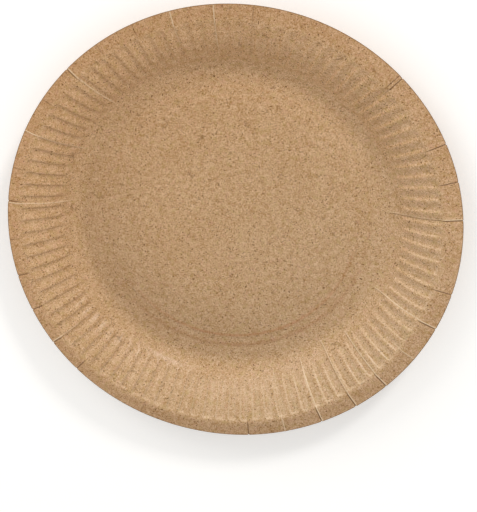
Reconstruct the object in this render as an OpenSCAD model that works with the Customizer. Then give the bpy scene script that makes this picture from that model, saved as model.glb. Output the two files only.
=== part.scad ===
// Disposable dinner plate, pressed in one stroke from a single round blank of recycled kraft board.
// It stands on the ring at the foot of its wall. Z is up and the origin is under the middle of the cut edge.

/* [Blank] */
// Diameter across the cut edge
plate_d = 230; // [214:1:260]
// Thickness of the board
board_t = 0.55; // [0.4:0.05:0.8]
// How far the pressed form sits off the middle of the blank
press_offset = 1.8; // [0:0.1:3]

/* [Base] */
// Diameter of the level ring that the plate stands on, where the wall starts to rise
base_d = 152; // [144:1:160]
// Width of the level ring that the plate stands on
stand_w = 4.5; // [3.5:0.1:6]
// Height of the middle of the base over the standing ring
panel_rise = 2.2; // [1:0.1:3]
// Diameter of the level middle of the base
panel_d = 92; // [60:1:104]
// Diameter of the ring pressed into the base, where the middle steps down
ring_d = 129.6; // [120:0.1:132]
// Height of each of the two steps in the base
step_h = 0.25; // [0.1:0.05:0.35]
// Width of the slope of each step
step_w = 0.8; // [0.4:0.1:1.2]

/* [Wall] */
// Inside radius of the bend at the foot of the wall
foot_r = 14; // [10:0.5:16]
// Slope of the wall at its foot, in degrees
foot_angle = 47.5; // [42:0.5:50]
// Slope of the wall under the rim, in degrees
rim_angle = 14; // [8:1:20]

/* [Rim] */
// Width of the plain margin from the flutes to the edge, where the form sits in the middle of the blank
margin_w = 7.7; // [6:0.1:10]
// Radius of the bend between the wall and the margin
shoulder_r = 4; // [2:0.5:6]
// Angle that the margin turns down, in degrees
lip_angle = 3; // [0:0.5:6]

/* [Flutes] */
// Number of flutes pressed into the wall
flutes = 100; // [72:4:108]
// Depth of a flute
flute_depth = 0.55; // [0.3:0.05:0.8]
// Width of the plain wall between the foot bend and the flutes, along the radius
flute_gap = 0.8; // [0.4:0.1:3]
// Width of the rib that is left between two flutes
rib_w = 1.9; // [1.4:0.1:2.4]
// Length of the slope at each end of a flute
flute_ramp = 1.3; // [0.8:0.1:2]

/* [Creases] */
// Number of pleats that take up the spare board at the edge
creases = 36; // [24:4:40]
// Turn of the first pleat from the X axis, in degrees about the middle of the blank
crease_start = 0.6; // [0:0.1:9]
// Width of the board that is folded over at a pleat
pleat_w = 1.5; // [1:0.1:2.5]
// Height of the folded board over the margin
pleat_h = 0.15; // [0.05:0.05:0.3]
// Depth of the score beside the folded board
score_h = 0.2; // [0.1:0.05:0.3]
// Width of the score
score_w = 0.5; // [0.3:0.1:0.8]
// Depth of the notch that the score leaves in the cut edge
notch = 0.4; // [0:0.1:1]

/* [Hidden] */
$fn = 180;

plate_r = plate_d / 2;
stand_r = base_d / 2;
stand_in = stand_r - stand_w;
pitch = 360 / flutes;
// Number of straight steps that stand for the foot bend, and for the wall along a flute
foot_steps = 5;
flute_steps = 3;
// How far inside the standing ring the wall's own sheet starts, and how far the base reaches over it
seam = 0.5;
lap = 2;
// Width that a flute's floor loses at each side of its rounded ends
corner_w = rib_w / 5;

// The section's bends, each a round arc tangent to the next, measured on the top face
foot_c = [stand_r, board_t + foot_r];
wall_in = stand_r + foot_r * sin(foot_angle);
wall_out = plate_r - margin_w;
wall_r = (wall_out - wall_in) / (sin(foot_angle) - sin(rim_angle));
wall_c = [wall_in + wall_r * sin(foot_angle), foot_c[1] - (foot_r + wall_r) * cos(foot_angle)];
shoulder_c = wall_c + (wall_r - shoulder_r) * [-sin(rim_angle), cos(rim_angle)];

// The slopes of the wall where the flutes start and stop
flute_a0 = wall_slope(wall_in + flute_gap);
flute_a1 = wall_slope(wall_in + flute_gap + flute_ramp);
flute_a2 = wall_slope(wall_out - flute_ramp);

// Slope of the wall at a distance from the axis
function wall_slope(r) = asin((wall_c[0] - r) / wall_r);

// The sideways direction of a face whose slope is a
function normal(a) = [-sin(a), cos(a)];

// Points of the section as [radius, height], a depth below the top face
function foot_point(a, depth) = foot_c - (foot_r + depth) * normal(a);
function wall_point(a, depth) = wall_c + (wall_r - depth) * normal(a);
function shoulder_point(a, depth) = shoulder_c + (shoulder_r - depth) * normal(a);

// Distance from the pressed form's axis to the cut edge, in direction az
function edge_r(az) = press_offset * cos(az) + sqrt(pow(plate_r, 2) - pow(press_offset * sin(az), 2));

// Point of the margin at distance r, a depth below its plain top face
function margin_point(r, depth) =
    let (start = shoulder_point(-lip_angle, depth))
    [r, start[1] - (r - start[0]) * tan(lip_angle)];

// A ring point in space, from its direction and its [radius, height]
function at(az, p) = [p[0] * cos(az), p[0] * sin(az), p[1]];

// A plain ring of the section, with one column to each flute
function plain_ring(p) = [for (i = [0 : flutes - 1]) [(i + 0.5) * pitch, p]];

// A ring through the flutes: each has a rib's crest and the two edges of its floor.
// sink is how far the floor lies under the crest, and narrow is what its rounded ends lose in width.
function flute_ring(a, depth, sink, narrow) =
    let (r = wall_point(a, depth)[0], half = pitch / 2 - (rib_w / 2 + narrow) / r * 180 / PI)
    [for (i = [0 : flutes - 1], c = [-1, 1, 2])
        c == 2 ? [(i + 0.5) * pitch, wall_point(a, depth)]
               : [i * pitch + c * half, wall_point(a, depth + sink)]];

// Direction of pleat k from the pressed form's axis. The pleats are scored round the middle of the blank.
function pleat_az(k) =
    let (a = crease_start + 360 * k / creases)
    a - atan2(press_offset * sin(a), plate_r + press_offset * cos(a));

// The columns of one pleat and of the plain margin up to the next: [direction, lift, cut back from the edge]
function pleat_columns() =
    let (mm = 180 / PI / plate_r, turn = 360 / creases)
    [[0, 0, 0],
     [score_w / 2 * mm, -score_h, notch],
     [score_w * mm, pleat_h, 0],
     [(score_w + pleat_w) * mm, 0, 0],
     [0.4 * turn, 0, 0],
     [0.7 * turn, 0, 0]];

// The margin's inner ring, and the ring of its cut edge, where relief is 1 on the top face and 0 underneath
function margin_ring(depth) =
    [for (k = [0 : creases - 1], c = pleat_columns())
        [pleat_az(k) + c[0], shoulder_point(-lip_angle, depth)]];
function edge_ring(depth, relief) =
    [for (k = [0 : creases - 1], c = pleat_columns())
        let (az = pleat_az(k) + c[0])
        [az, margin_point(edge_r(az) - c[2], depth) + [0, relief * c[1]]]];

// The rings of one face of the board, from the standing ring out to the cut edge
function face_rings(depth, relief) = concat(
    [plain_ring([stand_in + seam, board_t - depth])],
    [for (i = [0 : foot_steps]) plain_ring(foot_point(foot_angle * i / foot_steps, depth))],
    [flute_ring(flute_a0, depth, 0, rib_w / 2)],
    [for (i = [0 : flute_steps]) flute_ring(flute_a1 + (flute_a2 - flute_a1) * i / flute_steps, depth,
        flute_depth, i == 0 || i == flute_steps ? corner_w : 0)],
    [flute_ring(rim_angle, depth, 0, rib_w / 2)],
    [margin_ring(depth), edge_ring(depth, relief)]);

function reversed(v) = [for (i = [len(v) - 1 : -1 : 0]) v[i]];

// Number of directions in a ring and its next turn that come before az, or at it
function passed(ring, az, also) =
    len([for (turn = [0, 360], p = ring) if (p[0] + turn < az || (also && p[0] + turn == az)) 1]);

// The triangles that join ring a, whose first point is number ia, to ring b, whose first is number ib
function stitch(a, ia, b, ib) =
    let (na = len(a), nb = len(b))
    concat(
        [for (i = [0 : na - 1])
            let (next = a[(i + 1) % na][0] + (i == na - 1 ? 360 : 0), j = passed(b, next, true) - 1)
            [ia + i, ia + (i + 1) % na, ib + (j + nb) % nb]],
        [for (j = [0 : nb - 1])
            let (next = b[(j + 1) % nb][0] + (j == nb - 1 ? 360 : 0), i = passed(a, next, false) - 1)
            [ib + (j + 1) % nb, ib + j, ia + (i + na) % na]]);

// Running number of each ring's first point
function starts(rings) = [for (i = 0, n = 0; i < len(rings); n = n + len(rings[i]), i = i + 1) n];

// The fluted wall and the margin: rings down the top face, over the cut edge and back under the board
module rim() {
    rings = concat(face_rings(0, 1), reversed(face_rings(board_t, 0)));
    first = starts(rings);
    points = [for (ring = rings, p = ring) at(p[0], p[1])];
    faces = [for (i = [0 : len(rings) - 1])
        let (j = (i + 1) % len(rings))
        each stitch(rings[i], first[i], rings[j], first[j])];
    polyhedron(points = points, faces = faces);
}

// The raised middle of the base and its two steps, down to the standing ring
module base() {
    ring_r = ring_d / 2;
    slope = (panel_rise - 2 * step_h) / (stand_in - panel_d / 2 - 2 * step_w);
    over_ring = panel_rise - slope * (ring_r - panel_d / 2);
    heights = [
        [0, panel_rise],
        [panel_d / 2, panel_rise],
        [ring_r, over_ring],
        [ring_r + step_w, over_ring - step_h],
        [stand_in - step_w, step_h],
        [stand_in, 0],
        [stand_in + lap, 0]];
    rotate_extrude() polygon(concat(heights, reversed([for (p = heights) p + [0, board_t]])));
}

module plate() {
    color("#bd9a72") translate([-press_offset, 0, 0]) union() {
        base();
        rim();
    }
}

plate();
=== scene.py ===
"""Disposable dinner plate, pressed in one stroke from a single round blank of recycled kraft board.

The plate lies on the ring at the foot of its wall. Its section follows the CAD part's, but its steps are
softer and its margin is nearly level. It is spun round the axis of the pressed form, and the flutes and
pleats are then worked into both faces of the board at once.
"""
import logging
import math
from dataclasses import dataclass, field
from enum import Enum
from functools import cached_property
from typing import Any

import bmesh
import bpy
from mathutils import Matrix, Vector, noise


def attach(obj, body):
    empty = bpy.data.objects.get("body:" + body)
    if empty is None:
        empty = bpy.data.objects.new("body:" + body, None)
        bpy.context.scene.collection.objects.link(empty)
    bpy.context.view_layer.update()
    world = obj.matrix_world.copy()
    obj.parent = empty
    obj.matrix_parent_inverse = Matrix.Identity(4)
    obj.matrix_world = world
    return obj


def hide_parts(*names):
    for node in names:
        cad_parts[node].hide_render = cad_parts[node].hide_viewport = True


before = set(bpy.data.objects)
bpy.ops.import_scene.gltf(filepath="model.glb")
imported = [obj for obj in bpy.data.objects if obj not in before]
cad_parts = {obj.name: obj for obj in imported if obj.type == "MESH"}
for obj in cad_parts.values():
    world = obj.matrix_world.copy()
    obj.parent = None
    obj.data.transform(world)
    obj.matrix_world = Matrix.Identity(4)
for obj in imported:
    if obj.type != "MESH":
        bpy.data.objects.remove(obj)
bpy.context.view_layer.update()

Tree = bpy.types.NodeTree
Socket = bpy.types.NodeSocket

LOG = logging.getLogger("plate")
MM = 0.001
TURN = 2 * math.pi
NOISE_GAIN = 1.6


def smooth(t: float) -> float:
    """Returns t held between 0 and 1 and eased at both ends."""
    t = min(max(t, 0.0), 1.0)
    return t * t * (3 - 2 * t)


def bell(distance: float, width: float) -> float:
    """Returns 1 at distance 0, falling in a soft bell to 0 at width."""
    return 1 - smooth(abs(distance) / width)


def wander(*place: float) -> float:
    """Returns an even, repeatable irregularity between about -1 and 1 at a place in pattern units."""
    return NOISE_GAIN * noise.noise(Vector((*place, 0.0, 0.0)[:3]))


def linear(hex_colour: str) -> tuple[float, float, float, float]:
    """Turns an sRGB colour into the linear one that a shader reads.

    Args:
        hex_colour: the colour as six hex digits.

    Returns:
        Its linear red, green and blue, and an alpha of 1.
    """
    parts = [int(hex_colour[i : i + 2], 16) / 255 for i in (0, 2, 4)]
    return (*(c / 12.92 if c <= 0.04045 else ((c + 0.055) / 1.055) ** 2.4 for c in parts), 1.0)


def add_node(tree: Tree, kind: str, settings: dict[str, Any] | None = None,
             inputs: dict[Any, Any] | None = None) -> bpy.types.Node:
    """Adds one node to a tree.

    Args:
        tree: the node tree.
        kind: the node's type name.
        settings: values for the node's own properties.
        inputs: a value, or a socket to link from, for each input by name or number.

    Returns:
        The new node.
    """
    node = tree.nodes.new(kind)
    for name, value in (settings or {}).items():
        setattr(node, name, value)
    for socket, source in (inputs or {}).items():
        if isinstance(source, Socket):
            tree.links.new(source, node.inputs[socket])
        else:
            node.inputs[socket].default_value = source
    return node


@dataclass(frozen=True)
class Section:
    """The section of the board's top face, out from the axis of the pressed form.

    Sizes are in millimetres and angles in degrees. The fall of the base eases in over crown_w to either side
    of panel_r. The middle of the base leans by panel_tilt at panel_r, and is highest in direction panel_turn.
    probe is half the width over which a slope is measured.
    """

    plate_r: float = 115.0
    board_t: float = 0.55
    press_offset: float = 1.8
    stand_r: float = 76.0
    stand_w: float = 4.5
    panel_rise: float = 2.2
    panel_r: float = 46.0
    crown_w: float = 9.0
    ring_r: float = 64.8
    step_h: float = 0.25
    step_w: float = 1.8
    panel_tilt: float = 0.5
    panel_turn: float = 250.0
    foot_r: float = 14.0
    foot_angle: float = 47.5
    rim_angle: float = 14.0
    margin_w: float = 7.7
    shoulder_r: float = 8.0
    lip_angle: float = 0.5
    probe: float = 0.01

    @cached_property
    def stand_in(self) -> float:
        """Inner radius of the standing ring."""
        return self.stand_r - self.stand_w

    @cached_property
    def wall_in(self) -> float:
        """Radius where the foot bend ends and the wall begins."""
        return self.stand_r + self.foot_r * math.sin(math.radians(self.foot_angle))

    @cached_property
    def wall_out(self) -> float:
        """Radius where the wall ends at the shoulder."""
        return self.plate_r - self.margin_w

    @cached_property
    def wall_r(self) -> float:
        """Radius of the wall's own arc."""
        span = math.sin(math.radians(self.foot_angle)) - math.sin(math.radians(self.rim_angle))
        return (self.wall_out - self.wall_in) / span

    @cached_property
    def wall_c(self) -> tuple[float, float]:
        """Centre of the wall's arc, as radius and height."""
        a = math.radians(self.foot_angle)
        return (self.wall_in + self.wall_r * math.sin(a),
                self.board_t + self.foot_r - (self.foot_r + self.wall_r) * math.cos(a))

    @cached_property
    def shoulder_c(self) -> tuple[float, float]:
        """Centre of the shoulder's arc, as radius and height."""
        a = math.radians(self.rim_angle)
        reach = self.wall_r - self.shoulder_r
        return self.wall_c[0] - reach * math.sin(a), self.wall_c[1] + reach * math.cos(a)

    @cached_property
    def margin_in(self) -> float:
        """Radius where the shoulder ends and the plain margin begins."""
        return self.shoulder_c[0] + self.shoulder_r * math.sin(math.radians(self.lip_angle))

    def base_height(self, r: float) -> float:
        """Returns the height of the base's top face at radius r, with its crowned middle and both steps."""
        fall = self.panel_rise - 2 * self.step_h
        start = self.panel_r - self.crown_w
        t = min(max((r - start) / (2 * self.crown_w), 0.0), 1.0)
        # t ** 3 - t ** 4 / 2 is the run under a slope that eases in from 0 to 1
        run = 2 * self.crown_w * (t ** 3 - t ** 4 / 2) + max(r - self.panel_r - self.crown_w, 0.0)
        steps = smooth((r - self.ring_r) / self.step_w) + smooth((r - self.stand_in) / self.step_w + 1)
        plain = self.board_t + self.panel_rise - fall * run / (self.stand_in - self.panel_r)
        return plain - self.step_h * steps

    def height(self, r: float) -> float:
        """Returns the height of the top face at radius r."""
        if r <= self.stand_in:
            return self.base_height(r)
        if r <= self.stand_r:
            return self.board_t
        if r <= self.wall_in:
            return self.board_t + self.foot_r - math.sqrt(self.foot_r ** 2 - (r - self.stand_r) ** 2)
        if r <= self.wall_out:
            return self.wall_c[1] + math.sqrt(self.wall_r ** 2 - (r - self.wall_c[0]) ** 2)
        flat = min(r, self.margin_in)
        arc = self.shoulder_c[1] + math.sqrt(self.shoulder_r ** 2 - (flat - self.shoulder_c[0]) ** 2)
        return arc - (r - flat) * math.tan(math.radians(self.lip_angle))

    def slope(self, r: float) -> float:
        """Returns the angle at which the top face rises outwards at radius r, which is 0 at the middle."""
        rise = self.height(r + self.probe) - self.height(max(r - self.probe, 0.0))
        return math.atan2(rise, 2 * self.probe) if r > self.probe else 0.0

    def edge(self, az: float) -> float:
        """Returns the distance from the pressed form's axis to the cut edge in direction az."""
        along = self.press_offset * math.cos(az)
        return along + math.sqrt(self.plate_r ** 2 - (self.press_offset * math.sin(az)) ** 2)


@dataclass(frozen=True)
class Flutes:
    """The tapered panels pressed into the wall: each drops steeply at one side and rises slowly to the next.

    Sizes are in millimetres. side_w and slow_w are the widths of a flute's steep and slow sides, and start_w
    and end_w the lengths of the slopes at its inner and outer ends. In direction hard_az, in degrees, the
    outer ends are crispest and the painted highlight on the steep sides and outer ends is strongest. blunt is
    the share by which the ends are longer at a right angle to it, and twice that opposite. turn, in radians,
    is how far the flutes are turned from the X axis, and shift is how far their axis lies beside the form's.
    The three plays are how much the flutes differ in ends and depth, and the steps and rows say where their
    irregularity is read. highlight_side is the growth and the start of the highlight's fade from a flute's
    steep side to its slow one.
    """

    count: int = 100
    depth: float = 0.8
    inner_r: float = 86.0
    outer_r: float = 107.3
    rib_w: float = 1.6
    side_w: float = 1.3
    slow_w: float = 3.6
    end_w: float = 1.7
    start_w: float = 2.6
    hard_az: float = 290.0
    blunt: float = 0.5
    turn: float = 0.0099
    shift: float = 0.86
    corner_r: float = 1.5
    floor_crown: float = 0.12
    inner_play: float = 0.5
    outer_play: float = 0.35
    depth_play: float = 0.13
    end_step: float = 1.7
    depth_step: float = 1.3
    rows: tuple[float, float, float] = (3.1, 7.9, 0.4)
    # The painted highlight on the flutes' steep sides and outer ends, strongest in direction hard_az.
    highlight_gain: float = 2.0
    highlight_power: int = 4
    highlight_side: tuple[float, float] = (1.1, 0.2)
    highlight_run: float = 6.0

    @cached_property
    def pitch(self) -> float:
        """The turn from one flute to the next."""
        return TURN / self.count

    @cached_property
    def each(self) -> list[tuple[float, float, float]]:
        """The inner end, outer end and depth of every flute, each a little different from the next."""
        inner_row, outer_row, depth_row = self.rows
        return [(self.inner_r + self.inner_play * wander(k * self.end_step, inner_row),
                 self.outer_r + self.outer_play * wander(k * self.end_step, outer_row),
                 self.depth * (1 + self.depth_play * wander(k * self.depth_step, depth_row)))
                for k in range(self.count)]

    def drift(self, r: float, az: float) -> float:
        """Returns the flutes' turn from even places, which varies as their axis lies beside the form's."""
        return self.turn + self.shift * math.cos(az) / r

    def place(self, r: float, az: float) -> tuple[float, float, float]:
        """Finds a place in the flute that is nearest to it.

        Args:
            r: radius on the top face.
            az: direction from the axis.

        Returns:
            How far down the flute's side it lies, from 0 on the rib to 1 on the floor, its place across the
            flute from -1 at the steep side to 1, and the flute's depth there in millimetres.
        """
        turn = (az - self.drift(r, az)) / self.pitch
        k = round(turn)
        across = (turn - k) * self.pitch * r
        half = self.pitch * r / 2 - self.rib_w / 2 + self.side_w / 2
        inner, outer, depth = self.each[k % self.count]
        if not inner < r < outer:
            return 0.0, 0.0, 0.0
        along = abs(r - (inner + outer) / 2)
        qx = self.corner_r - min(half + across, (half - across) * self.side_w / self.slow_w)
        soft = 1 + self.blunt - self.blunt * math.cos(az - math.radians(self.hard_az))
        end = self.end_w * soft if 2 * r > inner + outer else self.start_w
        qy = (along - (outer - inner) / 2) * self.side_w / end + self.corner_r
        inside = self.corner_r - math.hypot(max(qx, 0), max(qy, 0)) - min(max(qx, qy), 0)
        share = across / half
        crown = 1 - self.floor_crown + self.floor_crown * (1 - min(abs(share), 1.0) ** 2)
        return smooth(inside / self.side_w), share, depth * crown

    def sink(self, r: float, az: float) -> float:
        """Returns how far the board is pressed down into a flute, in millimetres under the ribs' crests."""
        fall, _, depth = self.place(r, az)
        return fall * depth

    def painted_light_and_edge(self, r: float, az: float) -> float:
        """Returns how strongly a highlight is painted on a flute's steep side and outer end."""
        fall, share, _ = self.place(r, az)
        facing = (1 + math.cos(az - math.radians(self.hard_az))) / 2
        scale, start = self.highlight_side
        steep = 1 - smooth(share * scale + start)
        highlight_strength = self.highlight_gain * facing ** self.highlight_power
        # 4 * fall * (1 - fall) is 1 halfway down the side, and 0 on the rib and on the floor
        return highlight_strength * 4 * fall * (1 - fall) * steep * smooth((r - self.inner_r) / self.highlight_run)


@dataclass(frozen=True)
class FoldLine:
    """One radial line of a pleat: its distance beside the middle, its height, and its tint from -1 to 1,
    which is painted shade below 0 and a painted highlight above 0.
    """

    beside: float
    height: float
    tint: float


class PleatLook(Enum):
    """How a pleat shows on the top face, as the lines that it is made of."""

    CLOSED = (FoldLine(0.0, -0.03, 0.0),)
    FAINT = (FoldLine(0.0, -0.12, -0.5),)
    SLIT = (FoldLine(0.0, -0.25, -1.0),)
    LIP = (FoldLine(0.0, 0.14, 0.8),)
    LIP_AND_SLIT = (FoldLine(-0.4, -0.22, -1.0), FoldLine(0.35, 0.14, 0.9))
    SLIT_AND_LIP = (FoldLine(-0.35, 0.14, 0.9), FoldLine(0.4, -0.22, -1.0))
    TWO_SLITS = (FoldLine(-0.95, -0.24, -1.0), FoldLine(0.95, -0.2, -0.8))


@dataclass(frozen=True)
class Pleat:
    """One of the creases that take up the spare board.

    It has a direction in degrees, a look, the radius where it ends, how strongly it shows on the wall, and
    the share of that to which its slits open there.
    """

    az: float
    look: PleatLook
    inner_r: float = 84.0
    on_wall: float = 0.45
    slit: float = 0.3


def pleat_list() -> tuple[Pleat, ...]:
    """Returns the plate's 36 pleats in order round the edge."""
    look = PleatLook
    return (
        Pleat(0.8, look.LIP_AND_SLIT, 78, 0.45, 1.2), Pleat(10.6, look.SLIT, 98),
        Pleat(20.6, look.SLIT, 100), Pleat(30.4, look.CLOSED), Pleat(40.4, look.TWO_SLITS, 81, 0.5),
        Pleat(50.0, look.CLOSED), Pleat(59.9, look.CLOSED), Pleat(69.7, look.CLOSED),
        Pleat(79.9, look.FAINT, 84, 1.0), Pleat(89.6, look.LIP, 88, 0.6), Pleat(100.3, look.LIP, 96),
        Pleat(110.3, look.FAINT, 98), Pleat(120.5, look.FAINT, 96), Pleat(130.1, look.SLIT_AND_LIP, 84, 0.7),
        Pleat(140.4, look.FAINT, 98), Pleat(149.9, look.LIP, 81, 0.6), Pleat(160.5, look.FAINT, 96),
        Pleat(169.9, look.LIP_AND_SLIT, 82, 0.6), Pleat(180.3, look.FAINT, 98), Pleat(190.5, look.SLIT, 100),
        Pleat(200.6, look.SLIT, 100), Pleat(211.0, look.SLIT_AND_LIP, 96), Pleat(220.6, look.SLIT, 96),
        Pleat(231.2, look.CLOSED), Pleat(241.4, look.FAINT, 100), Pleat(251.3, look.CLOSED),
        Pleat(261.2, look.CLOSED), Pleat(271.1, look.SLIT, 100), Pleat(280.9, look.LIP, 82, 0.6),
        Pleat(291.1, look.LIP_AND_SLIT, 82, 0.8), Pleat(301.1, look.LIP_AND_SLIT, 79, 0.8),
        Pleat(310.8, look.LIP_AND_SLIT, 82, 0.8), Pleat(321.0, look.LIP, 96),
        Pleat(331.0, look.LIP_AND_SLIT, 79, 0.8), Pleat(340.9, look.SLIT, 81, 0.7), Pleat(350.9, look.CLOSED))


@dataclass(frozen=True)
class Creasing:
    """Works the pleats' lines, folded strips and notches into the margin and the wall.

    Sizes are in millimetres. A pleat grows to its full strength over full_run from full_r on, and takes
    end_run to run out at its inner end. A closed pleat has only closed_fold of the folded strip's height.
    A line whose height is below notch_from notches the edge.
    """

    pleats: tuple[Pleat, ...] = field(default_factory=pleat_list)
    line_w: float = 0.44
    tint_w: float = 0.4
    fold_w: float = 2.2
    fold_h: float = 0.12
    closed_fold: float = 0.3
    notch: float = 0.35
    notch_w: float = 0.6
    notch_from: float = -0.2
    full_r: float = 105.5
    full_run: float = 3.5
    end_run: float = 4.0

    def reach(self, pleat: Pleat, r: float, strength: float = 1.0) -> float:
        """Finds how strongly a pleat shows: fully on the margin, less down the wall, and not past its end.

        Args:
            pleat: the pleat.
            r: radius on the top face.
            strength: height or tint of one of its lines. One below 0 is a slit, which opens less on the wall.

        Returns:
            Its share, from 0 to 1 for most pleats.
        """
        wall = smooth((r - self.full_r) / self.full_run)
        on_wall = pleat.on_wall * (1.0 if strength > 0 else pleat.slit)
        return smooth((r - pleat.inner_r) / self.end_run) * (wall + (1 - wall) * on_wall)

    def nearest(self, az: float) -> Pleat:
        """Returns the pleat nearest to direction az."""
        step = 360 / len(self.pleats)
        return self.pleats[round((math.degrees(az) - self.pleats[0].az) / step) % len(self.pleats)]

    def beside(self, pleat: Pleat, r: float, az: float) -> float:
        """Returns the distance along the ring of radius r from a pleat's middle to direction az."""
        return ((az - math.radians(pleat.az) + math.pi) % TURN - math.pi) * r

    def lift(self, r: float, az: float) -> float:
        """Returns how far the pleats lift the board at a place, or sink it where below 0."""
        pleat = self.nearest(az)
        v = self.beside(pleat, r, az)
        lines = sum(line.height * bell(v - line.beside, self.line_w) * self.reach(pleat, r, line.height)
                    for line in pleat.look.value)
        bold = self.closed_fold if pleat.look is PleatLook.CLOSED else 1.0
        fold = self.fold_h * bold * (1 - v / self.fold_w) if 0 <= v < self.fold_w else 0.0
        return lines + fold * self.reach(pleat, r)

    def tint(self, r: float, az: float) -> float:
        """Returns the tint painted at a fold: below 0 a painted shade in its slits, above 0 a painted
        highlight on its lips.
        """
        pleat = self.nearest(az)
        v = self.beside(pleat, r, az)
        return sum(line.tint * bell(v - line.beside, self.tint_w) * self.reach(pleat, r, line.tint)
                   for line in pleat.look.value)

    def cut_back(self, r: float, az: float) -> float:
        """Returns how far the slits notch the cut edge back."""
        pleat = self.nearest(az)
        v = self.beside(pleat, r, az)
        return sum(self.notch * bell(v - line.beside, self.notch_w)
                   for line in pleat.look.value if line.height < self.notch_from)


class Tone(Enum):
    """The board's colours, as sRGB hex values."""

    DARK = "a97f4b"
    PALE = "e2c09e"
    BLUSH = "d1a388"
    OLIVE = "b99d62"
    SPECK = "6a4818"
    CUT = "8a6540"
    # Painted shade in the pleats' slits, and a painted highlight on their lips and on the flutes' steep
    # sides.
    SPLIT = "6f4f30"
    PAINTED_HIGHLIGHT = "ecd3b0"
    MARGIN = "f2edea"
    # Painted shade at the base's steps.
    STEP_SHADE = "eccdb8"
    # A warm tint and a cool one that paint the shaded and the lit sides of the plate.
    WARM = "fff8ec"
    COOL = "f8faf8"


def both(tree: Tree, first: tuple[Socket, float, float], second: tuple[Socket, float, float]) -> Socket:
    """Finds where two patterns show at once.

    Args:
        tree: the material's node tree.
        first: a pattern, its value where it shows nothing and its value where it shows fully.
        second: another one.

    Returns:
        The product of how far each shows.
    """
    shown = [add_node(tree, "ShaderNodeMapRange", {}, {"Value": value, "From Min": low, "From Max": high})
             for value, low, high in (first, second)]
    return add_node(tree, "ShaderNodeMath", {"operation": "MULTIPLY"}, {
        0: shown[0].outputs["Result"], 1: shown[1].outputs["Result"]}).outputs["Value"]


def from_axis(tree: Tree, place: Socket, axis_x: float) -> Socket:
    """Finds how far a place is from an upright axis.

    Args:
        tree: the material's node tree.
        place: the place on the plate in millimetres.
        axis_x: where the axis crosses X, in millimetres.

    Returns:
        The distance in millimetres.
    """
    beside = add_node(tree, "ShaderNodeVectorMath", {"operation": "SUBTRACT"}, {0: place, 1: (axis_x, 0, 0)})
    level = add_node(tree, "ShaderNodeVectorMath", {"operation": "MULTIPLY"}, {
        0: beside.outputs["Vector"], 1: (1, 1, 0)})
    return add_node(tree, "ShaderNodeVectorMath", {"operation": "LENGTH"}, {
        0: level.outputs["Vector"]}).outputs["Value"]


@dataclass(frozen=True)
class Patches:
    """Soft patches in the pulp: their size in millimetres, and how many rounds of finer ones they carry."""

    size_mm: float
    detail: float = 1.0
    rough: float = 0.6

    def lay(self, tree: Tree, place: Socket) -> Socket:
        """Returns the patches' strength, about 0.5 on the whole, at a place in millimetres."""
        return add_node(tree, "ShaderNodeTexNoise", {}, {
            "Vector": place, "Scale": 1 / self.size_mm, "Detail": self.detail,
            "Roughness": self.rough}).outputs["Fac"]


@dataclass(frozen=True)
class Paint:
    """A colour laid over the board where a pattern runs from low to high, and the most of it that is laid."""

    tone: Tone
    low: float = 0.0
    high: float = 1.0
    most: float = 1.0
    blend: str = "MIX"

    def over(self, tree: Tree, under: Any, pattern: Socket) -> Socket:
        """Lays the colour over another one.

        Args:
            tree: the material's node tree.
            under: the colour underneath, as a socket or as a value.
            pattern: the pattern that says where it is laid.

        Returns:
            The two colours together.
        """
        share = add_node(tree, "ShaderNodeMapRange", {}, {
            "Value": pattern, "From Min": self.low, "From Max": self.high, "To Max": self.most})
        return add_node(tree, "ShaderNodeMix", {"data_type": "RGBA", "blend_type": self.blend}, {
            0: share.outputs["Result"], 6: under, 7: linear(self.tone.value)}).outputs[2]


@dataclass(frozen=True)
class Lean:
    """A slow change of tone over one zone of the plate, which paints light and shade onto it.

    It has a level, its growth for each millimetre along X and along Y, and the radii between which the zone
    fades in and out. A zone that goes on to the edge fades out past it. A mirrored one is the same at both
    sides of each axis.
    """

    level: float
    along: tuple[float, float]
    fade_in: tuple[float, float]
    fade_out: tuple[float, float] = (130.0, 120.0)
    mirrored: bool = False

    def over(self, tree: Tree, colour: Socket, place: Socket, out: Socket) -> Socket:
        """Makes a colour paler or darker over the zone, as painted light and shade.

        Args:
            tree: the material's node tree.
            colour: the board's colour.
            place: the place on the plate in millimetres.
            out: its distance from the pressed form's axis in millimetres.

        Returns:
            The changed colour.
        """
        zone = both(tree, (out, *self.fade_in), (out, *self.fade_out))
        if self.mirrored:
            mirror = add_node(tree, "ShaderNodeVectorMath", {"operation": "ABSOLUTE"}, {0: place})
            place = mirror.outputs["Vector"]
        lean = add_node(tree, "ShaderNodeVectorMath", {"operation": "DOT_PRODUCT"}, {
            0: place, 1: (*self.along, 0.0)})
        change = add_node(tree, "ShaderNodeMath", {"operation": "ADD"}, {
            0: lean.outputs["Value"], 1: self.level})
        gain = add_node(tree, "ShaderNodeMath", {"operation": "MULTIPLY_ADD"}, {
            0: change.outputs["Value"], 1: zone, 2: 1.0})
        return add_node(tree, "ShaderNodeVectorMath", {"operation": "SCALE"}, {
            "Vector": colour, "Scale": gain.outputs["Value"]}).outputs["Vector"]


@dataclass(frozen=True)
class StepShade:
    """A ring of painted shade at one of the base's steps: its start and end, and how dark and soft it is."""

    inner_r: float
    outer_r: float
    dark: float
    soft: float = 0.3


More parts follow.
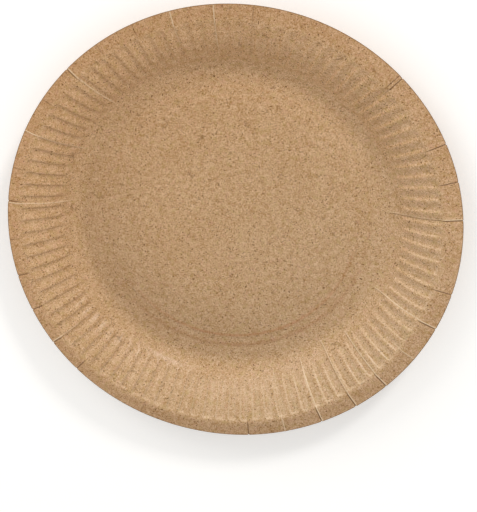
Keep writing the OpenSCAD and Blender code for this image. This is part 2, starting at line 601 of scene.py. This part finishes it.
@dataclass(frozen=True)
class KraftBoard:
    """Recycled kraft board, laid down wet as a mat of brown fibres and then pressed hot.

    It gives the eye a warm tan with a fine mottle, short paler and darker fibres lying every way, scattered
    dark specks, a slight sheen from the hot press with no coat, and a darker line where the blank was cut.

    Real fibres are about 0.03 mm wide, and the grain of such pulp is about 0.2 mm. Both are too fine to show
    in a view of the whole plate, so grain, fibres, hairs and specks are drawn as coarse as they need to show.
    Sizes are in millimetres. A hair runs where its noise passes 0.5. drift and ring_side say how fast the
    colour turns cooler, and the painted shade at the base's steps darker, for each millimetre along X and
    along Y. The leans, the cool drift and the rings paint light and shade: a falloff of the lamps' light, a
    cooler tint where the walls are lit, and shade at the steps on the side away from the lamps. The fold
    attribute paints shade into the pleats' slits and highlights on their lips and on the flutes' steep sides.
    """

    mottle: Patches = Patches(3.2, 2)
    grain: Patches = Patches(0.95, 2)
    fine: Patches = Patches(0.6)
    cloud: Patches = Patches(26.0, 2)
    tone_shares: tuple[float, ...] = (0.2, 0.35, 0.58, 0.08)
    pulp: Paint = Paint(Tone.PALE, 0.46, 0.75)

    warm_patches: Patches = Patches(2.3)
    cool_patches: Patches = Patches(3.013)
    blush: Paint = Paint(Tone.BLUSH, 0.54, 0.72, 0.4)
    olive: Paint = Paint(Tone.OLIVE, 0.54, 0.72, 0.4)

    fibre_turns: tuple[float, ...] = (12.0, 71.0, 134.0)
    fibre_l: float = 3.4
    fibre_w: float = 0.4
    pale_fibre: Paint = Paint(Tone.PALE, 0.62, 0.78, 0.6)
    dark_fibre: Paint = Paint(Tone.DARK, 0.36, 0.22, 0.7)

    dips: Patches = Patches(0.855)
    dark_dip: Paint = Paint(Tone.SPECK, 0.355, 0.285)

    hairs: Patches = Patches(4.5, 0.0)
    hair_core: tuple[float, float] = (0.022, 0.006)
    hair_groups: Patches = Patches(3.6, 0.0)
    hair_run: tuple[float, float] = (0.54, 0.62)
    hair: Paint = Paint(Tone.SPECK, most=0.4)

    speck_gap: float = 3.4
    speck_core: tuple[float, float] = (0.17, 0.07)
    speck_chance: tuple[float, float] = (0.5, 1.0)
    speck: Paint = Paint(Tone.SPECK)

    form_x: float = -Section.press_offset
    # Painted light and shade: the base's outer part a little darker, the wall and margin paler, both lighter
    # towards the right and the top, and the margin paler at the left and right than at the top and bottom.
    leans: tuple[Lean, ...] = (
        Lean(-0.03, (0.0010, 0.0004), (34.0, 60.0), (82.0, 76.0)),
        Lean(0.085, (0.0003, 0.0002), (78.0, 84.0)),
        Lean(0.0, (0.0008, -0.0008), (106.5, 109.5), mirrored=True))
    # drift and cool paint a tint that is cooler towards the right and bottom, where the walls are lit, and
    # warmer towards the top and left.
    drift: tuple[float, float] = (0.006, -0.008)
    cool: Paint = Paint(Tone.COOL, -1.0, 1.0)
    # Painted shade at the base's two steps, strongest at the bottom, the side away from the lamps.
    rings: tuple[StepShade, ...] = (StepShade(63.2, 65.6, 0.55), StepShade(68.0, 72.0, 0.3))
    ring_side: tuple[float, float] = (0.002, -0.0155)
    ring_fade: tuple[float, float] = (0.3, 0.95)
    ring_least: float = 0.1
    margin: Paint = Paint(Tone.MARGIN, 106.5, 109.5, blend="MULTIPLY")

    # Painted shade in the pleats' slits, a painted highlight on their lips and on the flutes' steep sides,
    # and the cut edge's own brown.
    slit_shade: Paint = Paint(Tone.SPLIT, 0.0, -1.0)
    painted_highlight: Paint = Paint(Tone.PAINTED_HIGHLIGHT, 0.0, 1.0)
    cut: Paint = Paint(Tone.CUT, 114.55, 114.85)

    grain_relief: float = 0.6
    fibre_relief: float = 0.7
    bump_strength: float = 0.6
    bump_h: float = 0.05
    roughness: float = 0.3
    ior: float = 1.47
    specular: float = 0.22

    def strands(self, tree: Tree, place: Socket) -> tuple[Socket, Socket]:
        """Lays fibres in several directions, as noise stretched along a turned axis.

        Args:
            tree: the material's node tree.
            place: the place on the plate in millimetres.

        Returns:
            The strength of the strongest fibre at each place, and that of the weakest.
        """
        laid = []
        for turn in self.fibre_turns:
            turned = add_node(tree, "ShaderNodeMapping", {"vector_type": "TEXTURE"}, {
                "Vector": place, "Rotation": (0, 0, math.radians(turn)),
                "Scale": (self.fibre_l, self.fibre_w, self.fibre_w)})
            laid.append(add_node(tree, "ShaderNodeTexNoise", {}, {
                "Vector": turned.outputs["Vector"], "Scale": 1.0, "Detail": 1.0}).outputs["Fac"])
        most = least = laid[0]
        for fibre in laid[1:]:
            most = add_node(tree, "ShaderNodeMath", {"operation": "MAXIMUM"}, {
                0: most, 1: fibre}).outputs["Value"]
            least = add_node(tree, "ShaderNodeMath", {"operation": "MINIMUM"}, {
                0: least, 1: fibre}).outputs["Value"]
        return most, least

    def mat(self, tree: Tree, place: Socket) -> tuple[Socket, Socket]:
        """Lays the mat of pulp: its mottled tone, its fibres and the small dark dips between them.

        Args:
            tree: the material's node tree.
            place: the place on the plate in millimetres.

        Returns:
            The mat's colour and its relief.
        """
        patches = [kind.lay(tree, place) for kind in (self.mottle, self.grain, self.fine, self.cloud)]
        tone: Any = 0.0
        for strength, share in zip(patches, self.tone_shares):
            tone = add_node(tree, "ShaderNodeMath", {"operation": "MULTIPLY_ADD"}, {
                0: strength, 1: share, 2: tone}).outputs["Value"]
        most, least = self.strands(tree, place)
        colour = self.pulp.over(tree, linear(Tone.DARK.value), tone)
        colour = self.blush.over(tree, colour, self.warm_patches.lay(tree, place))
        colour = self.olive.over(tree, colour, self.cool_patches.lay(tree, place))
        colour = self.pale_fibre.over(tree, colour, most)
        colour = self.dark_dip.over(tree, colour, self.dips.lay(tree, place))
        colour = self.dark_fibre.over(tree, colour, least)
        grain = add_node(tree, "ShaderNodeMath", {"operation": "MULTIPLY"}, {
            0: patches[1], 1: self.grain_relief})
        relief = add_node(tree, "ShaderNodeMath", {"operation": "MULTIPLY_ADD"}, {
            0: most, 1: self.fibre_relief, 2: grain.outputs["Value"]})
        return colour, relief.outputs["Value"]

    def specks(self, tree: Tree, place: Socket, colour: Socket) -> Socket:
        """Scatters dark hairs and specks of bark over the mat.

        Args:
            tree: the material's node tree.
            place: the place on the plate in millimetres.
            colour: the mat's colour.

        Returns:
            The colour with the hairs and specks.
        """
        beside = add_node(tree, "ShaderNodeMath", {"operation": "SUBTRACT"}, {
            0: self.hairs.lay(tree, place), 1: 0.5})
        bend = add_node(tree, "ShaderNodeMath", {"operation": "ABSOLUTE"}, {0: beside.outputs["Value"]})
        hair = both(tree, (bend.outputs["Value"], *self.hair_core),
                    (self.hair_groups.lay(tree, place), *self.hair_run))
        colour = self.hair.over(tree, colour, hair)
        cells = add_node(tree, "ShaderNodeTexVoronoi", {}, {"Vector": place, "Scale": 1 / self.speck_gap})
        chance = add_node(tree, "ShaderNodeSeparateColor", {}, {"Color": cells.outputs["Color"]})
        spot = both(tree, (cells.outputs["Distance"], *self.speck_core),
                    (chance.outputs["Red"], *self.speck_chance))
        return self.speck.over(tree, colour, spot)

    def painted_light_and_margin(self, tree: Tree, place: Socket, colour: Socket) -> Socket:
        """Paints light and shade over the base, wall and margin and at the base's steps, tints the plate
        cooler towards its lit side, and darkens the margin.

        Args:
            tree: the material's node tree.
            place: the place on the plate in millimetres.
            colour: the board's colour.

        Returns:
            The colour as pressed.
        """
        out = from_axis(tree, place, self.form_x)
        # Each lean paints light and shade over one zone: a falloff of the lamps' light and a darker or paler
        # level.
        for lean in self.leans:
            colour = lean.over(tree, colour, place, out)
        # A painted tint of light and shade: cooler towards the lit right and bottom, warmer towards the top
        # and left.
        drift = add_node(tree, "ShaderNodeVectorMath", {"operation": "DOT_PRODUCT"}, {
            0: place, 1: (*self.drift, 0.0)})
        tint = self.cool.over(tree, linear(Tone.WARM.value), drift.outputs["Value"])
        colour = add_node(tree, "ShaderNodeMix", {"data_type": "RGBA", "blend_type": "MULTIPLY"}, {
            0: 1.0, 6: colour, 7: tint}).outputs[2]
        low = add_node(tree, "ShaderNodeVectorMath", {"operation": "DOT_PRODUCT"}, {
            0: place, 1: (*self.ring_side, 0.0)})
        start, full = self.ring_fade
        side = add_node(tree, "ShaderNodeMapRange", {}, {
            "Value": low.outputs["Value"], "From Min": start, "From Max": full, "To Min": self.ring_least})
        # Paints shade at the base's steps, faded towards the lit side.
        for ring in self.rings:
            middle = (ring.inner_r + ring.outer_r) / 2
            band = both(tree, (out, ring.inner_r, middle - ring.soft),
                        (out, ring.outer_r, middle + ring.soft))
            shown = add_node(tree, "ShaderNodeMath", {"operation": "MULTIPLY"}, {
                0: band, 1: side.outputs["Result"]})
            dark = Paint(Tone.STEP_SHADE, most=ring.dark, blend="MULTIPLY")
            colour = dark.over(tree, colour, shown.outputs["Value"])
        return self.margin.over(tree, colour, out)

    def painted_light_and_edge(self, tree: Tree, place: Socket, colour: Socket) -> Socket:
        """Paints shade into the pleats' slits and highlights on their lips and on the flutes, and browns the
        cut edge.

        Args:
            tree: the material's node tree.
            place: the place on the plate in millimetres.
            colour: the board's colour.

        Returns:
            The worn colour.
        """
        fold = add_node(tree, "ShaderNodeAttribute", {"attribute_name": "fold"}).outputs["Fac"]
        # Below 0 the fold attribute paints shade into the slits, and above 0 it paints highlights on the lips
        # and flutes.
        colour = self.slit_shade.over(tree, colour, fold)
        colour = self.painted_highlight.over(tree, colour, fold)
        return self.cut.over(tree, colour, from_axis(tree, place, 0.0))

    def material(self) -> bpy.types.Material:
        """Builds the board's material.

        Returns:
            The material, patterned on Object coordinates and on the plate's fold attribute.
        """
        made = bpy.data.materials.new("recycled kraft board, pressed")
        made.use_nodes = True
        tree = made.node_tree
        tree.nodes.clear()
        metres = add_node(tree, "ShaderNodeTexCoord").outputs["Object"]
        place = add_node(tree, "ShaderNodeVectorMath", {"operation": "SCALE"}, {
            "Vector": metres, "Scale": 1 / MM}).outputs["Vector"]
        colour, relief = self.mat(tree, place)
        colour = self.specks(tree, place, colour)
        colour = self.painted_light_and_margin(tree, place, colour)
        colour = self.painted_light_and_edge(tree, place, colour)
        bump = add_node(tree, "ShaderNodeBump", {}, {
            "Height": relief, "Strength": self.bump_strength, "Distance": self.bump_h * MM})
        shader = add_node(tree, "ShaderNodeBsdfPrincipled", {}, {
            "Base Color": colour, "Roughness": self.roughness, "IOR": self.ior,
            "Specular IOR Level": self.specular, "Normal": bump.outputs["Normal"]})
        add_node(tree, "ShaderNodeOutputMaterial", {}, {"Surface": shader.outputs["BSDF"]})
        return made


class Zone(Enum):
    """The parts of the section that take different numbers of columns."""

    BASE = 1
    WALL = 2
    MARGIN = 3


@dataclass(frozen=True)
class Ring:
    """One ring of the mesh: its zone, its radius or share of the margin, and its depth under the top face."""

    zone: Zone
    station: float
    depth: float


@dataclass
class PressedPlate:
    """The whole plate: one sheet of board, pressed to shape, with sizes in millimetres.

    Its mesh has rings at the radii below, or at shares of the margin. Its columns are even over the base,
    where only one of base_share is kept, and lie at the ribs and the pleats' lines further out. The first
    column is in direction seam_az, in radians, which no rib or pleat crosses. The underside leaves out the
    rings in not_under. The warp is the slight wave that such a plate's rim has.
    """

    section: Section = field(default_factory=Section)
    flutes: Flutes = field(default_factory=Flutes)
    creasing: Creasing = field(default_factory=Creasing)
    board: KraftBoard = field(default_factory=KraftBoard)

    panel_rings: tuple[float, ...] = (0, 12, 24, 33, 37, 41, 45, 49, 53, 58, 62)
    step_shares: tuple[float, ...] = (-0.3, 0.15, 0.4, 0.6, 0.85, 1.3)
    between_steps: float = 68.0
    foot_rings: tuple[float, ...] = (74, 76, 77.6, 79.2, 80.8, 82.3, 83.6, 84.7)
    wall_rings: tuple[float, ...] = (85.5, 86.0, 86.5, 87.0, 87.6, 88.5, 90.2, 92.8, 95.4, 98.2, 101, 103.2,
                                     104.6, 105.4, 106, 106.5, 107, 107.6, 108.1)
    margin_rings: tuple[float, ...] = (0.0, 0.2, 0.4, 0.6, 0.78, 0.91, 0.985)
    under_margin: tuple[float, ...] = (0.985, 0.8, 0.4, 0.0)
    not_under: tuple[float, ...] = (33, 41, 49, 62)
    edge_soft: float = 0.12
    spun_margin: float = 6.0
    merge_d: float = 0.01

    sectors: int = 10
    base_share: int = 4
    level_r: float = 72.0
    level_run: float = 10.0
    spread_from: float = 80.0
    seam_az: float = math.radians(4.2)
    rib_columns: tuple[float, ...] = (-3.0, -2.2, -1.5, -0.8, -0.2, 0.15, 0.45, 0.8, 1.15, 1.45)
    line_columns: tuple[float, ...] = (-0.42, -0.2, 0.0, 0.2, 0.42)
    side_columns: tuple[float, ...] = (-2.2, 2.2)
    spare_place: float = 0.2

    detail_from: float = 78.0
    notch_share: float = 0.2
    # How strongly the flutes' painted highlight shows in the fold tint.
    highlight_tint: float = 0.24
    warp_h: float = 0.22
    warp_from: float = 84.0
    warp_run: float = 25.0
    warp_waves: float = 2.2
    warp_row: float = 5.0

    def rings(self) -> list[Ring]:
        """Returns the rings from the top face's middle over the cut edge to the middle of the underside."""
        s, t = self.section, self.section.board_t
        first = [s.ring_r + f * s.step_w for f in self.step_shares]
        second = [s.stand_in - s.step_w + f * s.step_w for f in self.step_shares]
        base = [*self.panel_rings, *first, self.between_steps, *second]
        spared = (*self.not_under, first[0], second[0])
        top = [Ring(Zone.BASE, r, 0) for r in base]
        top += [Ring(Zone.WALL, r, 0) for r in self.foot_rings + self.wall_rings]
        top += [Ring(Zone.MARGIN, u, 0) for u in self.margin_rings]
        edge = [Ring(Zone.MARGIN, 1, self.edge_soft), Ring(Zone.MARGIN, 1, t - self.edge_soft)]
        under = [Ring(Zone.MARGIN, u, t) for u in self.under_margin]
        under += [Ring(Zone.WALL, r, t) for r in reversed(self.foot_rings[1::2] + self.wall_rings[::2])]
        under += [Ring(Zone.BASE, r, t) for r in reversed(base) if r not in spared]
        return top + edge + under

    def spread_columns(self, r: float) -> list[float]:
        """Returns the columns' directions at radius r, closer together at the ribs and the pleats' lines."""
        pitch = self.flutes.pitch
        ribs = [(k + 0.5) * pitch for k in range(self.flutes.count)]
        at_ribs = [az + self.flutes.drift(r, az) + v / r for az in ribs for v in self.rib_columns]
        at_lines = [math.radians(pleat.az) + (line.beside + v) / r for pleat in self.creasing.pleats
                    for line in pleat.look.value for v in self.line_columns]
        at_sides = [math.radians(pleat.az) + v / r for pleat in self.creasing.pleats
                    for v in self.side_columns]
        columns = at_ribs + at_lines + at_sides
        columns += [(k + self.spare_place) * pitch for k in range(-len(columns) % self.sectors)]
        return sorted((az - self.seam_az) % TURN + self.seam_az for az in columns)

    def column_az(self, ring: Ring, spread: list[float], column: int) -> float:
        """Returns a column's direction on a ring: even over the base, and at the features further out."""
        even = self.seam_az + TURN * column / len(spread)
        out = 1.0 if ring.zone is Zone.MARGIN else smooth((ring.station - self.level_r) / self.level_run)
        return even + (spread[column] - even) * out

    def point(self, ring: Ring, level: tuple[float, float], az: float) -> tuple[Vector, float]:
        """Places one point of the board.

        Args:
            ring: the ring that it lies on.
            level: the height and slope of the plain top face on that ring, or at the margin's inner end.
            az: its direction from the pressed form's axis.

        Returns:
            Its place in metres and its fold tint, which paints shade and highlights at the pleats and flutes.
        """
        s, r, tint = self.section, ring.station, 0.0
        high, slope = level
        if ring.zone is Zone.MARGIN:
            at_edge = smooth((ring.station - (1 - self.notch_share)) / self.notch_share)
            edge = s.edge(az) - self.creasing.cut_back(s.plate_r, az) * at_edge
            r = s.margin_in + ring.station * (edge - s.margin_in)
            high += (r - s.margin_in) * math.tan(slope)
        lift = 0.0
        if r > self.detail_from:
            lift = self.creasing.lift(r, az) - self.flutes.sink(r, az)
            # The tint paints shade into the pleats' slits and highlights on their lips and on the flutes'
            # steep sides.
            tint = self.creasing.tint(r, az) + self.highlight_tint * self.flutes.painted_light_and_edge(r, az)
        if ring.zone is Zone.BASE:
            across = r * math.cos(az - math.radians(s.panel_turn)) / s.panel_r
            lift += s.panel_tilt * across * (1 - smooth((r - s.panel_r) / (s.stand_in - s.panel_r)))
        else:
            wave = wander(self.warp_waves * math.cos(az), self.warp_waves * math.sin(az), self.warp_row)
            lift += self.warp_h * smooth((r - self.warp_from) / self.warp_run) * wave
        up = lift - ring.depth
        far, high = r - up * math.sin(slope), high + up * math.cos(slope)
        return Vector((far * math.cos(az) - s.press_offset, far * math.sin(az), high)) * MM, tint

    def spin(self, bm: bmesh.types.BMesh, rings: list[Ring], columns: int) -> None:
        """Spins the plain section into a closed board.

        One sector is spun and then turned round the axis, and each point keeps the number of its ring.

        Args:
            bm: the mesh to fill, with its layer of ring numbers.
            rings: the rings that the section goes through.
            columns: the number of columns all round.
        """
        row = bm.verts.layers.int["row"]
        line = []
        for i, ring in enumerate(rings):
            on_margin = ring.zone is Zone.MARGIN
            r = self.section.margin_in + self.spun_margin * ring.station if on_margin else ring.station
            vert = bm.verts.new((r * MM, 0, (self.section.height(r) - ring.depth) * MM))
            vert[row] = i
            line.append(vert)
        edges = [bm.edges.new(pair) for pair in zip(line, line[1:])]
        bmesh.ops.spin(bm, geom=line + edges, cent=(0, 0, 0), axis=(0, 0, 1), dvec=(0, 0, 0),
                       angle=TURN / self.sectors, steps=columns // self.sectors, use_merge=False,
                       use_duplicate=False)
        sector = bm.verts[:] + bm.edges[:] + bm.faces[:]
        for i in range(1, self.sectors):
            copy = bmesh.ops.duplicate(bm, geom=sector)["geom"]
            bmesh.ops.rotate(bm, verts=[part for part in copy if isinstance(part, bmesh.types.BMVert)],
                             matrix=Matrix.Rotation(i * TURN / self.sectors, 3, "Z"))
        bmesh.ops.remove_doubles(bm, verts=bm.verts, dist=self.merge_d * MM)
        bmesh.ops.recalc_face_normals(bm, faces=bm.faces)

    def press(self, bm: bmesh.types.BMesh, rings: list[Ring], columns: int) -> None:
        """Thins out the columns over the base, then moves every point to its place on the pressed board.

        Args:
            bm: the spun board.
            rings: its rings.
            columns: the number of columns all round.
        """
        row = bm.verts.layers.int["row"]
        shade = bm.verts.layers.float["fold"]

        def column(vert: bmesh.types.BMVert) -> int:
            """Returns the number of the column that a point of the spun mesh is in."""
            return round(math.atan2(vert.co.y, vert.co.x) % TURN * columns / TURN) % columns

        spare = []
        for edge in bm.edges:
            inner, outer = sorted(edge.verts, key=lambda vert: vert.co.xy.length)
            zones = {rings[inner[row]].zone, rings[outer[row]].zone}
            if zones == {Zone.BASE} and inner[row] != outer[row] and column(outer) % self.base_share:
                spare.append(edge)
        bmesh.ops.dissolve_edges(bm, edges=spare, use_verts=True, use_face_split=False)
        spreads, levels = [], []
        for ring in rings:
            r = self.section.margin_in if ring.zone is Zone.MARGIN else ring.station
            spreads.append(self.spread_columns(max(r, self.spread_from)))
            levels.append((self.section.height(r), self.section.slope(r)))
        for vert in bm.verts:
            i = vert[row]
            az = self.column_az(rings[i], spreads[i], column(vert))
            vert.co, vert[shade] = self.point(rings[i], levels[i], az)

    def build(self) -> bpy.types.Object:
        """Builds the plate.

        Returns:
            The plate, closed all round and at its place in the frame.
        """
        rings = self.rings()
        columns = len(self.spread_columns(self.section.plate_r))
        bm = bmesh.new()
        bm.verts.layers.int.new("row")
        bm.verts.layers.float.new("fold")
        self.spin(bm, rings, columns)
        self.press(bm, rings, columns)
        bm.verts.layers.int.remove(bm.verts.layers.int["row"])
        for face in bm.faces:
            face.smooth = True
        mesh = bpy.data.meshes.new("pressed_plate")
        bm.to_mesh(mesh)
        bm.free()
        piece = bpy.data.objects.new("pressed_plate", mesh)
        bpy.context.scene.collection.objects.link(piece)
        mesh.materials.append(self.board.material())
        return piece


@dataclass(frozen=True)
class Lamp:
    """One square lamp that faces the plate: its place and its side in metres, and its power in watts."""

    name: str
    place: tuple[float, float, float]
    size: float
    power: float


@dataclass(frozen=True)
class Studio:
    """A plain pale floor, soft light from behind at both sides and a camera that looks down on the plate.

    Sizes are in metres. The floor lies floor_gap under the plate, so that the two never share a plane.
    """

    floor_size: float = 6.0
    floor_gap: float = 0.05 * MM
    floor_colour: str = "f4f2ee"
    glow: float = 0.3
    sky_colour: str = "ffffff"
    sky: float = 0.6
    lamps: tuple[Lamp, ...] = (
        Lamp("left", (-0.85, 1.50, 1.02), 0.9, 9.6), Lamp("right", (0.90, 1.45, 1.04), 0.3, 11.6))
    camera_at: tuple[float, float, float] = (0.09039, 0.25392, 0.72588)
    camera_back: tuple[float, float, float] = (0.1159, 0.35099, 0.92918)
    camera_up: tuple[float, float, float] = (0.03089, 0.93376, -0.35657)
    focal_px: float = 1506.6
    photo_px: tuple[int, int] = (477, 512)
    sensor_mm: float = 24.0

    def paper(self) -> bpy.types.Material:
        """Builds the floor's matt white paper, which gives the eye an even pale ground that keeps shadows."""
        paper = bpy.data.materials.new("matt white paper roll")
        paper.use_nodes = True
        tree = paper.node_tree
        tree.nodes.clear()
        dull = add_node(tree, "ShaderNodeBsdfDiffuse", {}, {"Color": linear(self.floor_colour)})
        seen = add_node(tree, "ShaderNodeLightPath").outputs["Is Camera Ray"]
        lit = add_node(tree, "ShaderNodeMath", {"operation": "MULTIPLY"}, {0: seen, 1: self.glow})
        glow = add_node(tree, "ShaderNodeEmission", {}, {"Strength": lit.outputs["Value"]})
        both_lit = add_node(tree, "ShaderNodeAddShader", {}, {
            0: dull.outputs["BSDF"], 1: glow.outputs["Emission"]})
        add_node(tree, "ShaderNodeOutputMaterial", {}, {"Surface": both_lit.outputs["Shader"]})
        return paper

    def floor(self) -> bpy.types.Object:
        """Builds the floor, which shows the camera a pale ground and keeps the plate's shadow."""
        bm = bmesh.new()
        bmesh.ops.create_grid(bm, x_segments=2, y_segments=2, size=self.floor_size / 2)
        bmesh.ops.translate(bm, verts=bm.verts, vec=(0, 0, -self.floor_gap))
        mesh = bpy.data.meshes.new("floor")
        bm.to_mesh(mesh)
        bm.free()
        ground = bpy.data.objects.new("floor", mesh)
        bpy.context.scene.collection.objects.link(ground)
        mesh.materials.append(self.paper())
        return ground

    def light(self) -> None:
        """Lights the scene evenly from all round, and more from two soft lamps."""
        world = bpy.data.worlds.new("studio")
        bpy.context.scene.world = world
        world.use_nodes = True
        tree = world.node_tree
        tree.nodes.clear()
        path = add_node(tree, "ShaderNodeLightPath")
        seen = path.outputs["Is Camera Ray"]
        for ray in ("Is Glossy Ray", "Is Transmission Ray"):
            seen = add_node(tree, "ShaderNodeMath", {"operation": "MAXIMUM"}, {
                0: seen, 1: path.outputs[ray]}).outputs["Value"]
        level = add_node(tree, "ShaderNodeMapRange", {}, {"Value": seen, "To Min": self.sky, "To Max": 1.0})
        backdrop = add_node(tree, "ShaderNodeBackground", {}, {
            "Color": linear(self.sky_colour), "Strength": level.outputs["Result"]})
        add_node(tree, "ShaderNodeOutputWorld", {}, {"Surface": backdrop.outputs["Background"]})
        for lamp in self.lamps:
            light = bpy.data.lights.new(lamp.name, "AREA")
            light.shape = "SQUARE"
            light.size = lamp.size
            light.energy = lamp.power
            hung = bpy.data.objects.new(lamp.name, light)
            hung.location = lamp.place
            hung.rotation_euler = Vector(lamp.place).to_track_quat("Z", "Y").to_euler()
            bpy.context.scene.collection.objects.link(hung)

    def camera(self) -> None:
        """Sets the camera up at the photograph's viewing angle."""
        data = bpy.data.cameras.new("camera")
        data.sensor_fit = "VERTICAL"
        data.sensor_height = self.sensor_mm
        data.lens = self.focal_px / self.photo_px[1] * self.sensor_mm
        back, up = Vector(self.camera_back).normalized(), Vector(self.camera_up)
        side = up.cross(back).normalized()
        up = back.cross(side)
        eye = bpy.data.objects.new("camera", data)
        eye.matrix_world = Matrix.Translation(self.camera_at) @ Matrix((side, up, back)).transposed().to_4x4()
        bpy.context.scene.collection.objects.link(eye)
        bpy.context.scene.camera = eye


def main() -> None:
    """Builds the plate and the studio, in order, and reports each."""
    logging.basicConfig(level=logging.INFO, format="%(name)s: %(message)s")
    studio = Studio()
    studio.camera()
    plate = PressedPlate().build()
    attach(plate, "root")
    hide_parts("plate")
    LOG.info("pressed plate: %d faces", len(plate.data.polygons))
    studio.floor()
    studio.light()
    bpy.context.scene.view_settings.view_transform = "Standard"
    LOG.info("studio set")


if __name__ == "__main__":
    main()
